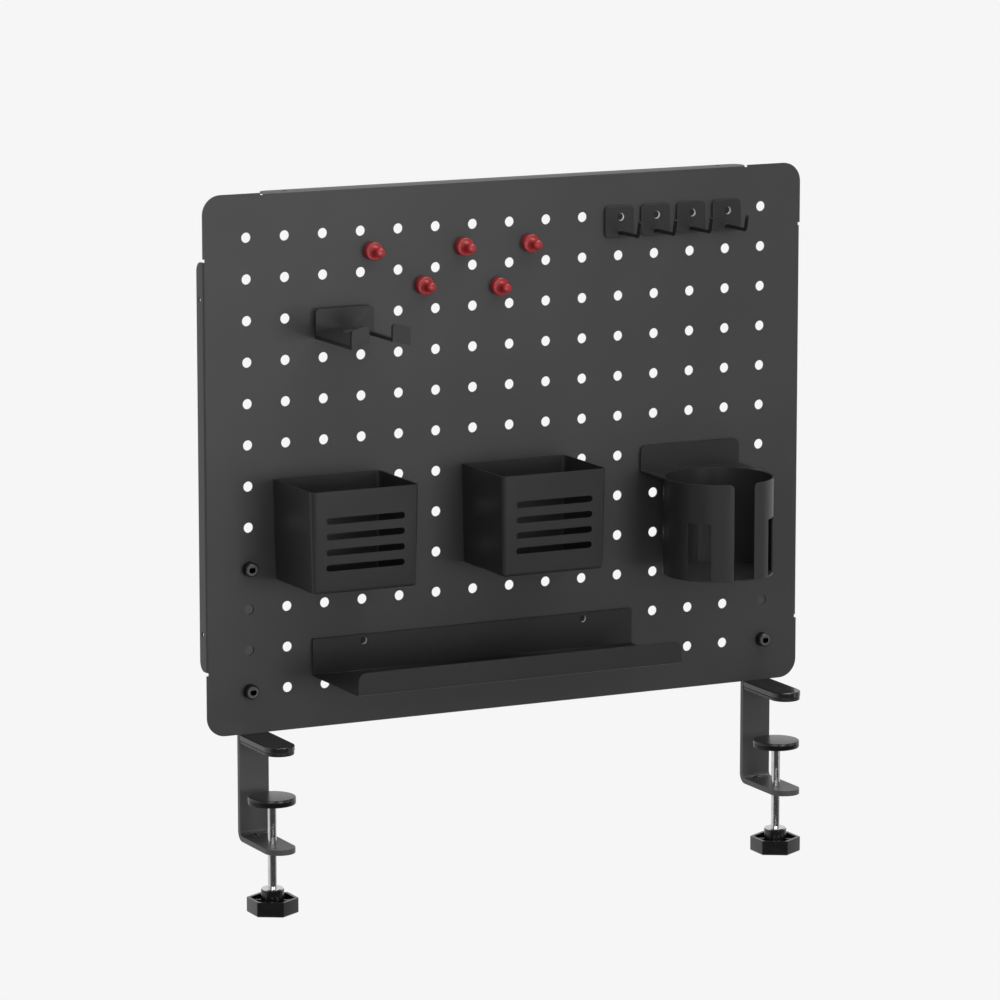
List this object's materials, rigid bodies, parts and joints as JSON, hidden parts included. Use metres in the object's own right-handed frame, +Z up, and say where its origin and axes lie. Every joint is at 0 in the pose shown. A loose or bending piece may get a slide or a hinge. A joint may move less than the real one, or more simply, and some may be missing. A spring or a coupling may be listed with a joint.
{
  "type": "clamp-on pegboard desk organizer",
  "caption": "Perforated steel panel held upright on a desk edge by two screw clamps, with magnetic bins, a cup holder, a tray, a headphone hanger, hooks and push pins.",
  "frame": {"origin": "on the desk top's plane, midway along the panel, in line with the panel's front face", "axes": "+X to the right seen from the desk, -Y from the panel's front towards the person at the desk, +Z up"},
  "size_m": [0.601, 0.1264, 0.6409],
  "materials": {
    "panel_coat": "fine matte powder coat, charcoal",
    "clamp_coat": "semi-gloss black powder coat",
    "accessory_coat": "satin black powder coat",
    "black_steel": "black oxide",
    "bright_steel": "bright zinc or nickel plate",
    "satin_steel": "satin black",
    "disc_face": "satin",
    "pad_rubber": "smooth rubber",
    "knob_plastic": "fine-grained moulded plastic",
    "magnet_strip": "flexible magnetic strip",
    "pin_plastic": "glossy red",
    "magnet_steel": "nickel-plated magnet"
  },
  "bodies": {
    "board": {"pegboard_panel": "panel_coat", "clamp_bracket_left": "clamp_coat", "upper_jaw_left": "clamp_coat", "jaw_pad_left": "pad_rubber", "clamp_bolts_left": "black_steel", "jaw_stud_left": "bright_steel", "clamp_bracket_right": "clamp_coat", "upper_jaw_right": "clamp_coat", "jaw_pad_right": "pad_rubber", "clamp_bolts_right": "black_steel", "jaw_stud_right": "bright_steel"},
    "left_disc": {"pressure_disc_left": "satin_steel", "disc_pad_left": "disc_face"},
    "left_screw": {"clamp_screw_left": "bright_steel", "knob_collar_left": "bright_steel", "clamp_knob_left": "knob_plastic"},
    "right_disc": {"pressure_disc_right": "satin_steel", "disc_pad_right": "disc_face"},
    "right_screw": {"clamp_screw_right": "bright_steel", "knob_collar_right": "bright_steel", "clamp_knob_right": "knob_plastic"},
    "left_pen_box": {"pen_box_left": "accessory_coat", "pen_box_magnets_left": "magnet_strip"},
    "right_pen_box": {"pen_box_right": "accessory_coat", "pen_box_magnets_right": "magnet_strip"},
    "cup": {"cup_holder": "accessory_coat", "cup_holder_magnets": "magnet_strip"},
    "shelf": {"tray": "accessory_coat", "tray_magnets": "magnet_strip"},
    "hanger": {"headphone_hanger": "accessory_coat", "hanger_magnet": "magnet_strip"},
    "hook_1": {"hook_plate_1": "accessory_coat", "hook_rod_1": "accessory_coat", "hook_magnet_1": "magnet_strip"},
    "hook_2": {"hook_plate_2": "accessory_coat", "hook_rod_2": "accessory_coat", "hook_magnet_2": "magnet_strip"},
    "hook_3": {"hook_plate_3": "accessory_coat", "hook_rod_3": "accessory_coat", "hook_magnet_3": "magnet_strip"},
    "hook_4": {"hook_plate_4": "accessory_coat", "hook_rod_4": "accessory_coat", "hook_magnet_4": "magnet_strip"},
    "pin_1": {"push_pin_1": "pin_plastic", "pin_magnet_1": "magnet_steel"},
    "pin_2": {"push_pin_2": "pin_plastic", "pin_magnet_2": "magnet_steel"},
    "pin_3": {"push_pin_3": "pin_plastic", "pin_magnet_3": "magnet_steel"},
    "pin_4": {"push_pin_4": "pin_plastic", "pin_magnet_4": "magnet_steel"},
    "pin_5": {"push_pin_5": "pin_plastic", "pin_magnet_5": "magnet_steel"}
  },
  "joints": [
    {"name": "left_clamp_travel", "type": "slide", "parent": "board", "child": "left_disc", "axis": [0, 0, 1], "range_m": [-0.03125, 0.03125]},
    {"name": "left_screw_turn", "type": "hinge", "parent": "left_disc", "child": "left_screw", "pos_m": [-0.2547, -0.0365, -0.1], "axis": [0, 0, 1], "range_deg": [-9000, 9000]},
    {"name": "right_clamp_travel", "type": "slide", "parent": "board", "child": "right_disc", "axis": [0, 0, 1], "range_m": [-0.03125, 0.03125]},
    {"name": "right_screw_turn", "type": "hinge", "parent": "right_disc", "child": "right_screw", "pos_m": [0.2597, -0.0365, -0.1], "axis": [0, 0, 1], "range_deg": [-9000, 9000]},
    {"name": "left_pen_box_pull_off", "type": "slide", "parent": "board", "child": "left_pen_box", "axis": [0, -1, 0], "range_m": [0, 0.1]},
    {"name": "right_pen_box_pull_off", "type": "slide", "parent": "board", "child": "right_pen_box", "axis": [0, -1, 0], "range_m": [0, 0.1]},
    {"name": "cup_pull_off", "type": "slide", "parent": "board", "child": "cup", "axis": [0, -1, 0], "range_m": [0, 0.1]},
    {"name": "shelf_pull_off", "type": "slide", "parent": "board", "child": "shelf", "axis": [0, -1, 0], "range_m": [0, 0.1]},
    {"name": "hanger_pull_off", "type": "slide", "parent": "board", "child": "hanger", "axis": [0, -1, 0], "range_m": [0, 0.08]},
    {"name": "hook_1_pull_off", "type": "slide", "parent": "board", "child": "hook_1", "axis": [0, -1, 0], "range_m": [0, 0.05]},
    {"name": "hook_2_pull_off", "type": "slide", "parent": "board", "child": "hook_2", "axis": [0, -1, 0], "range_m": [0, 0.05]},
    {"name": "hook_3_pull_off", "type": "slide", "parent": "board", "child": "hook_3", "axis": [0, -1, 0], "range_m": [0, 0.05]},
    {"name": "hook_4_pull_off", "type": "slide", "parent": "board", "child": "hook_4", "axis": [0, -1, 0], "range_m": [0, 0.05]},
    {"name": "pin_1_pull_off", "type": "slide", "parent": "board", "child": "pin_1", "axis": [0, -1, 0], "range_m": [0, 0.03]},
    {"name": "pin_2_pull_off", "type": "slide", "parent": "board", "child": "pin_2", "axis": [0, -1, 0], "range_m": [0, 0.03]},
    {"name": "pin_3_pull_off", "type": "slide", "parent": "board", "child": "pin_3", "axis": [0, -1, 0], "range_m": [0, 0.03]},
    {"name": "pin_4_pull_off", "type": "slide", "parent": "board", "child": "pin_4", "axis": [0, -1, 0], "range_m": [0, 0.03]},
    {"name": "pin_5_pull_off", "type": "slide", "parent": "board", "child": "pin_5", "axis": [0, -1, 0], "range_m": [0, 0.03]}
  ],
  "couplings": [
    {"joint": "left_screw_turn", "follows": "left_clamp_travel", "rad_per_m": 5026.5},
    {"joint": "right_screw_turn", "follows": "right_clamp_travel", "rad_per_m": 5026.5}
  ]
}
